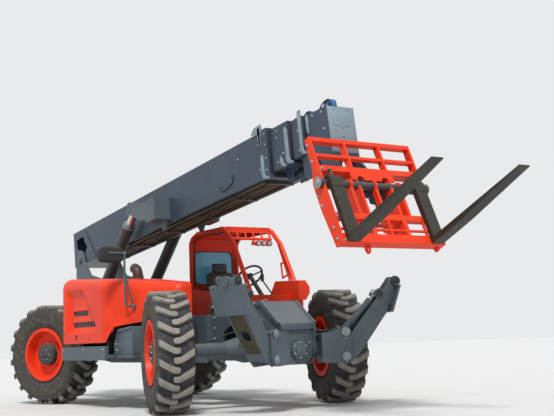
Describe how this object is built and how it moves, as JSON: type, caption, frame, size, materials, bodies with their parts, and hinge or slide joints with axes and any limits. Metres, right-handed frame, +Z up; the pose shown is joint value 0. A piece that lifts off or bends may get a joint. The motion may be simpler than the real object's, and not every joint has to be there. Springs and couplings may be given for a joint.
{
  "type": "telehandler",
  "caption": "Rough-terrain telehandler with a telescopic boom, fork carriage, front outriggers, open cab on the left and engine pod on the right.",
  "frame": {"origin": "on the ground, under the middle of the machine's whole length with forks and of its width", "axes": "+X forward along the machine, +Y to its left, +Z up"},
  "size_m": [8.4488, 2.9748, 3.1735],
  "materials": {
    "orange_paint": "gloss",
    "grey_paint": "satin",
    "boom_paint": "satin",
    "dark_paint": "satin",
    "light_grey_paint": "satin",
    "fork_steel": "satin",
    "rod_chrome": "polished",
    "tyre_rubber": "matte",
    "window_glass": "polished",
    "seat_vinyl": "matte",
    "black_plastic": "matte",
    "cast_iron": "rough"
  },
  "bodies": {
    "chassis": {"main_frame": "grey_paint", "front_frame": "grey_paint", "outrigger_bracket_left": "grey_paint", "outrigger_bracket_right": "grey_paint", "front_axle": "grey_paint", "rear_axle": "grey_paint", "rear_ballast": "grey_paint", "engine_block": "cast_iron", "pod_frame": "grey_paint", "side_box": "grey_paint", "left_tank": "grey_paint", "cab_base": "orange_paint", "cab_frame": "orange_paint", "cab_roof": "orange_paint", "cab_rear_panel": "orange_paint", "cab_rear_window": "window_glass", "seat": "seat_vinyl", "dash": "black_plastic"},
    "hood": {"hood": "orange_paint", "mirror": "black_plastic", "exhaust": "dark_paint"},
    "boom": {"boom": "boom_paint", "boom_ear_left": "light_grey_paint", "boom_ear_right": "light_grey_paint"},
    "section_2": {"boom_section_2": "boom_paint"},
    "section_3": {"boom_section_3": "boom_paint"},
    "section_4": {"boom_section_4": "boom_paint", "boom_nose": "boom_paint"},
    "carriage": {"carriage_frame": "orange_paint", "fork_shaft": "dark_paint", "fork_left": "fork_steel", "fork_right": "fork_steel"},
    "tilt_barrel": {"tilt_barrel": "dark_paint"},
    "tilt_rod": {"tilt_rod": "rod_chrome"},
    "lift_barrel_left": {"lift_barrel_left": "dark_paint"},
    "lift_rod_left": {"lift_rod_left": "rod_chrome"},
    "outrigger_arm_left": {"outrigger_arm_left": "grey_paint"},
    "outrigger_barrel_left": {"outrigger_barrel_left": "grey_paint"},
    "outrigger_rod_left": {"outrigger_rod_left": "rod_chrome"},
    "knuckle_front_left": {"knuckle_front_left": "grey_paint"},
    "wheel_front_left": {"rim_front_left": "orange_paint", "tyre_front_left": "tyre_rubber"},
    "knuckle_rear_left": {"knuckle_rear_left": "grey_paint"},
    "wheel_rear_left": {"rim_rear_left": "orange_paint", "tyre_rear_left": "tyre_rubber"},
    "lift_barrel_right": {"lift_barrel_right": "dark_paint"},
    "lift_rod_right": {"lift_rod_right": "rod_chrome"},
    "outrigger_arm_right": {"outrigger_arm_right": "grey_paint"},
    "outrigger_barrel_right": {"outrigger_barrel_right": "grey_paint"},
    "outrigger_rod_right": {"outrigger_rod_right": "rod_chrome"},
    "knuckle_front_right": {"knuckle_front_right": "grey_paint"},
    "wheel_front_right": {"rim_front_right": "orange_paint", "tyre_front_right": "tyre_rubber"},
    "knuckle_rear_right": {"knuckle_rear_right": "grey_paint"},
    "wheel_rear_right": {"rim_rear_right": "orange_paint", "tyre_rear_right": "tyre_rubber"}
  },
  "joints": [
    {"name": "boom_lift", "type": "hinge", "parent": "chassis", "child": "boom", "pos_m": [-3.83443, 0, 2], "axis": [0, -1, 0], "range_deg": [-9.9, 64.1]},
    {"name": "boom_extend", "type": "slide", "parent": "boom", "child": "section_2", "axis": [0.9947, 0, 0.1028], "range_m": [0, 3.6]},
    {"name": "section_3_extend", "type": "slide", "parent": "section_2", "child": "section_3", "axis": [0.9947, 0, 0.1028], "range_m": [-0.01, 3.61]},
    {"name": "section_4_extend", "type": "slide", "parent": "section_3", "child": "section_4", "axis": [0.9947, 0, 0.1028], "range_m": [-0.01, 3.61]},
    {"name": "carriage_tilt", "type": "hinge", "parent": "section_4", "child": "carriage", "pos_m": [2.61561, 0, 2.11931], "axis": [0, -1, 0], "range_deg": [-60, 8]},
    {"name": "tilt_barrel_swing", "type": "hinge", "parent": "section_4", "child": "tilt_barrel", "pos_m": [1.94557, 0, 2.44], "axis": [0, -1, 0], "range_deg": [-13.32, 3.51]},
    {"name": "tilt_rod_slide", "type": "slide", "parent": "tilt_barrel", "child": "tilt_rod", "axis": [0.7601, 0, -0.6498], "range_m": [-0.292, 0.0433]},
    {"name": "lift_barrel_left_swing", "type": "hinge", "parent": "chassis", "child": "lift_barrel_left", "pos_m": [-3.13443, 0.368, 1.2], "axis": [0, -1, 0], "range_deg": [-9.98, 53.69]},
    {"name": "lift_rod_left_slide", "type": "slide", "parent": "lift_barrel_left", "child": "lift_rod_left", "axis": [0.7328, 0, 0.6805], "range_m": [-0.1604, 1.0113]},
    {"name": "outrigger_left_swing", "type": "hinge", "parent": "chassis", "child": "outrigger_arm_left", "pos_m": [1.49857, 0.5, 0.548], "axis": [0.9219, -0.3875, 0], "range_deg": [-82, 5]},
    {"name": "outrigger_barrel_left_swing", "type": "hinge", "parent": "chassis", "child": "outrigger_barrel_left", "pos_m": [1.49857, 0.5, 0.808], "axis": [0.9219, -0.3875, 0], "range_deg": [-85.62, 7.1]},
    {"name": "outrigger_rod_left_slide", "type": "slide", "parent": "outrigger_barrel_left", "child": "outrigger_rod_left", "axis": [0.2727, 0.6487, 0.7105], "range_m": [-0.0258, 0.3456]},
    {"name": "lift_barrel_right_swing", "type": "hinge", "parent": "chassis", "child": "lift_barrel_right", "pos_m": [-3.13443, -0.368, 1.2], "axis": [0, -1, 0], "range_deg": [-9.98, 53.69]},
    {"name": "lift_rod_right_slide", "type": "slide", "parent": "lift_barrel_right", "child": "lift_rod_right", "axis": [0.7328, 0, 0.6805], "range_m": [-0.1604, 1.0113]},
    {"name": "outrigger_right_swing", "type": "hinge", "parent": "chassis", "child": "outrigger_arm_right", "pos_m": [1.49857, -0.5, 0.548], "axis": [-0.9219, -0.3875, 0], "range_deg": [-82, 5]},
    {"name": "outrigger_barrel_right_swing", "type": "hinge", "parent": "chassis", "child": "outrigger_barrel_right", "pos_m": [1.49857, -0.5, 0.808], "axis": [-0.9219, -0.3875, 0], "range_deg": [-85.62, 7.1]},
    {"name": "outrigger_rod_right_slide", "type": "slide", "parent": "outrigger_barrel_right", "child": "outrigger_rod_right", "axis": [0.2727, -0.6487, 0.7105], "range_m": [-0.0258, 0.3456]},
    {"name": "steer_front_right", "type": "hinge", "parent": "chassis", "child": "knuckle_front_right", "pos_m": [0.51557, -0.85, 0.655], "axis": [0, 0, 1], "range_deg": [-17.5, 52.5]},
    {"name": "spin_front_right", "type": "hinge", "parent": "knuckle_front_right", "child": "wheel_front_right", "pos_m": [0.44641, -1.06935, 0.655], "axis": [0.3007, 0.9537, 0], "continuous": true},
    {"name": "steer_front_left", "type": "hinge", "parent": "chassis", "child": "knuckle_front_left", "pos_m": [0.51557, 0.85, 0.655], "axis": [0, 0, 1], "range_deg": [-18, 53]},
    {"name": "spin_front_left", "type": "hinge", "parent": "knuckle_front_left", "child": "wheel_front_left", "pos_m": [0.58474, 1.06935, 0.655], "axis": [0.3007, 0.9537, 0], "continuous": true},
    {"name": "steer_rear_right", "type": "hinge", "parent": "chassis", "child": "knuckle_rear_right", "pos_m": [-2.98443, -0.85, 0.655], "axis": [0, 0, 1], "range_deg": [-58.9, 11.1]},
    {"name": "spin_rear_right", "type": "hinge", "parent": "knuckle_rear_right", "child": "wheel_rear_right", "pos_m": [-2.89124, -1.06028, 0.655], "axis": [-0.4051, 0.9143, 0], "continuous": true},
    {"name": "steer_rear_left", "type": "hinge", "parent": "chassis", "child": "knuckle_rear_left", "pos_m": [-2.98443, 0.85, 0.655], "axis": [0, 0, 1], "range_deg": [-59.4, 11.6]},
    {"name": "spin_rear_left", "type": "hinge", "parent": "knuckle_rear_left", "child": "wheel_rear_left", "pos_m": [-3.07761, 1.06028, 0.655], "axis": [-0.4051, 0.9143, 0], "continuous": true},
    {"name": "hood_open", "type": "hinge", "parent": "chassis", "child": "hood", "pos_m": [-1.23443, -0.5, 1.5], "axis": [-1, 0, 0], "range_deg": [0, 50]}
  ],
  "couplings": [
    {"joint": "section_3_extend", "follows": "boom_extend", "ratio": 1},
    {"joint": "section_4_extend", "follows": "boom_extend", "ratio": 1},
    {"joint": "tilt_barrel_swing", "follows": "carriage_tilt", "ratio": 0.1887},
    {"joint": "tilt_rod_slide", "follows": "carriage_tilt", "m_per_rad": 0.27403},
    {"joint": "lift_barrel_left_swing", "follows": "boom_lift", "ratio": 0.8064},
    {"joint": "lift_rod_left_slide", "follows": "boom_lift", "m_per_rad": 0.89944},
    {"joint": "outrigger_barrel_left_swing", "follows": "outrigger_left_swing", "ratio": 1.0198},
    {"joint": "outrigger_rod_left_slide", "follows": "outrigger_left_swing", "m_per_rad": -0.23796},
    {"joint": "lift_barrel_right_swing", "follows": "boom_lift", "ratio": 0.8064},
    {"joint": "lift_rod_right_slide", "follows": "boom_lift", "m_per_rad": 0.89944},
    {"joint": "outrigger_barrel_right_swing", "follows": "outrigger_right_swing", "ratio": 1.0198},
    {"joint": "outrigger_rod_right_slide", "follows": "outrigger_right_swing", "m_per_rad": -0.23796},
    {"joint": "steer_front_left", "follows": "steer_front_right", "ratio": 1},
    {"joint": "steer_rear_left", "follows": "steer_rear_right", "ratio": 1}
  ]
}
